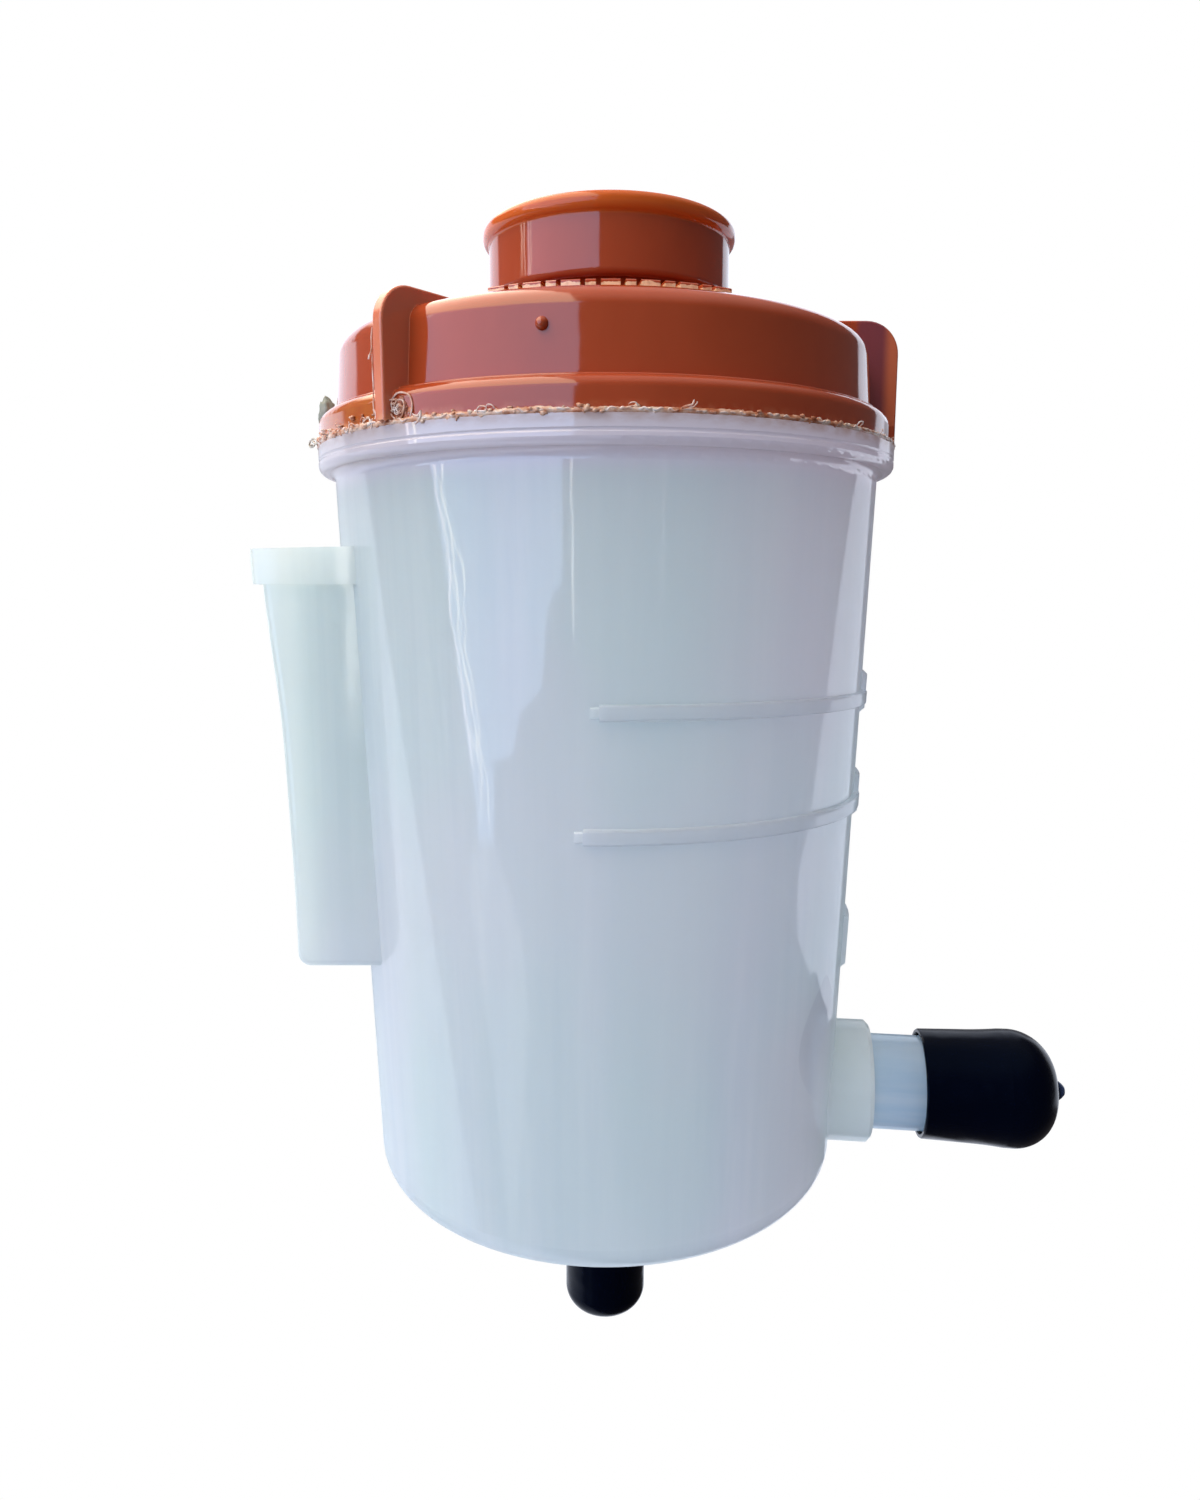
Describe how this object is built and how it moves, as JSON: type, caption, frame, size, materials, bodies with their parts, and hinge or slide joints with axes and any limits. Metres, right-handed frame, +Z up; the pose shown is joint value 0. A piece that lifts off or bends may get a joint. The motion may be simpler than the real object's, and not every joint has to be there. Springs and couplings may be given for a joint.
{
  "type": "power steering reservoir",
  "caption": "Tapered translucent fluid tank with a welded domed cover, a push-fit filler cap, capped side outlet and bottom return stubs, and a bracket sleeve.",
  "frame": {"origin": "centre of the mouth of the bracket slot, at the lower end of the side sleeve", "axes": "+Z up along the tank's axis, +X from the bracket sleeve to the tank's axis, -Y is the side with the start of the level ribs; the tank's axis is at x = 45.7 mm, y = 0"},
  "size_m": [0.1333, 0.093, 0.1905],
  "materials": {
    "tank": "milky translucent natural moulding, smooth with a soft gloss",
    "cover": "glossy orange-brown moulding",
    "cap": "glossy orange-brown moulding",
    "seal": "plain black rubber",
    "vent_plate": "natural moulding",
    "dust_cap": "dipped black vinyl, glossy",
    "cage": "plain moulding",
    "mesh": "fine woven filter mesh"
  },
  "bodies": {
    "tank": {"tank_body": "tank", "top_cover": "cover", "strainer_frame": "cage", "strainer_mesh": "mesh", "strainer_seal": "seal"},
    "filler_cap": {"filler_cap": "cap", "cap_seal": "seal", "cap_vent_plate": "vent_plate"},
    "outlet_dust_cap": {"outlet_dust_cap": "dust_cap"},
    "return_dust_cap": {"return_dust_cap": "dust_cap"}
  },
  "joints": [
    {"name": "filler_cap_lift", "type": "slide", "parent": "tank", "child": "filler_cap", "axis": [0, 0, 1], "range_m": [0, 0.03]},
    {"name": "outlet_cap_pull", "type": "slide", "parent": "tank", "child": "outlet_dust_cap", "axis": [0.9925, -0.1219, 0], "range_m": [0, 0.03]},
    {"name": "return_cap_pull", "type": "slide", "parent": "tank", "child": "return_dust_cap", "axis": [0, 0, -1], "range_m": [0, 0.035]}
  ]
}
